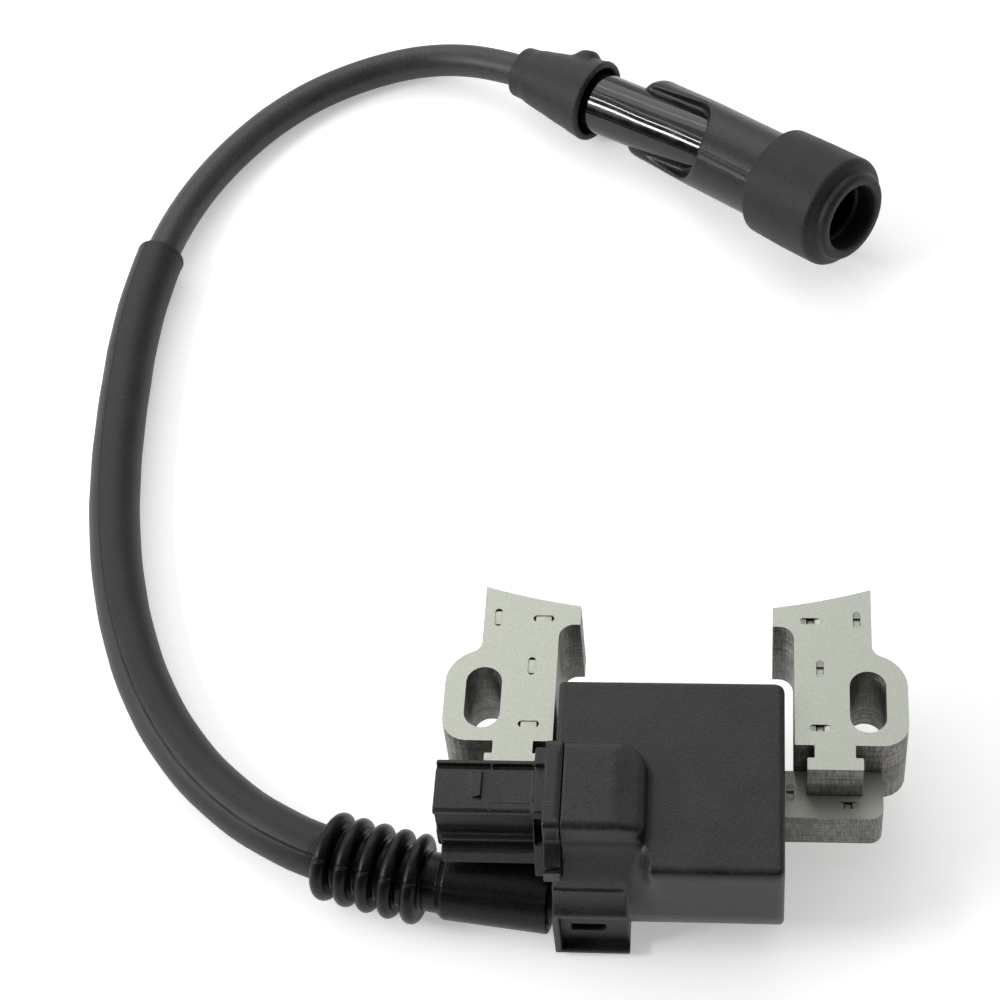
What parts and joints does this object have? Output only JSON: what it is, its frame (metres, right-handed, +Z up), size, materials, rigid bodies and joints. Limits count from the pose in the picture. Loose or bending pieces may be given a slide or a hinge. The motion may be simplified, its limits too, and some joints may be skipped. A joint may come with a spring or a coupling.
{
  "type": "ignition coil",
  "caption": "Magneto ignition coil: laminated core legs with mounting slots, moulded coil case with igniter connector, lead with bellows boot, and bent plug cap.",
  "frame": {"origin": "midway between the centres of the two mounting slots, in the plane of the legs' undersides, which is the plane of the engine's two mounting bosses", "axes": "+X along the line through the two slots, towards the right leg; +Y towards the flywheel; +Z up, away from the engine's bosses"},
  "size_m": [0.1797, 0.2505, 0.038],
  "materials": {
    "left_leg": "rolled electrical steel, cut edges in fine layers",
    "right_leg": "rolled electrical steel, cut edges in fine layers",
    "yoke": "rolled electrical steel, cut edges in fine layers",
    "coil_case": "satin glass-filled plastic with fine specks",
    "primary_bobbin": "natural nylon",
    "primary_winding": "enamelled copper wire, shown as a solid pack",
    "secondary_bobbin": "natural nylon",
    "secondary_winding": "fine enamelled copper wire, shown as solid sections",
    "igniter_board": "glass-epoxy board",
    "power_transistor": "moulded package",
    "trigger_chip": "moulded package",
    "charge_capacitor": "film-wrapped can",
    "potting": "cast epoxy",
    "connector_housing": "semi-gloss moulded plastic",
    "signal_pin": "tinned brass blade",
    "stop_pin": "tinned brass blade",
    "ground_strap": "tinned steel strip",
    "ht_terminal": "turned brass",
    "ht_link": "enamelled copper wire",
    "primary_link": "enamelled copper wire",
    "outlet_boot": "satin moulded rubber",
    "lead_jacket": "satin black lead jacket",
    "lead_conductor": "stranded copper",
    "lead_sleeve": "matte black sleeve",
    "cap_lead_boot": "matte moulded rubber",
    "cap_tube": "polished phenolic",
    "cap_body": "satin moulded plastic with a parting line",
    "cap_ring": "satin moulded rubber",
    "cap_lead_screw": "turned brass",
    "cap_resistor": "ceramic rod with a printed coat",
    "cap_spring": "spring steel wire",
    "cap_plug_clip": "spring brass"
  },
  "bodies": {
    "root": {"left_leg": "left_leg", "right_leg": "right_leg", "yoke": "yoke", "coil_case": "coil_case", "primary_bobbin": "primary_bobbin", "primary_winding": "primary_winding", "secondary_bobbin": "secondary_bobbin", "secondary_winding": "secondary_winding", "igniter_board": "igniter_board", "power_transistor": "power_transistor", "trigger_chip": "trigger_chip", "charge_capacitor": "charge_capacitor", "potting": "potting", "connector_housing": "connector_housing", "signal_pin": "signal_pin", "stop_pin": "stop_pin", "ground_strap": "ground_strap", "ht_terminal": "ht_terminal", "ht_link": "ht_link", "primary_link": "primary_link", "outlet_boot": "outlet_boot", "lead_jacket": "lead_jacket", "lead_conductor": "lead_conductor", "lead_sleeve": "lead_sleeve", "cap_lead_boot": "cap_lead_boot", "cap_tube": "cap_tube", "cap_body": "cap_body", "cap_ring": "cap_ring", "cap_lead_screw": "cap_lead_screw", "cap_resistor": "cap_resistor", "cap_spring": "cap_spring", "cap_plug_clip": "cap_plug_clip"}
  },
  "joints": []
}
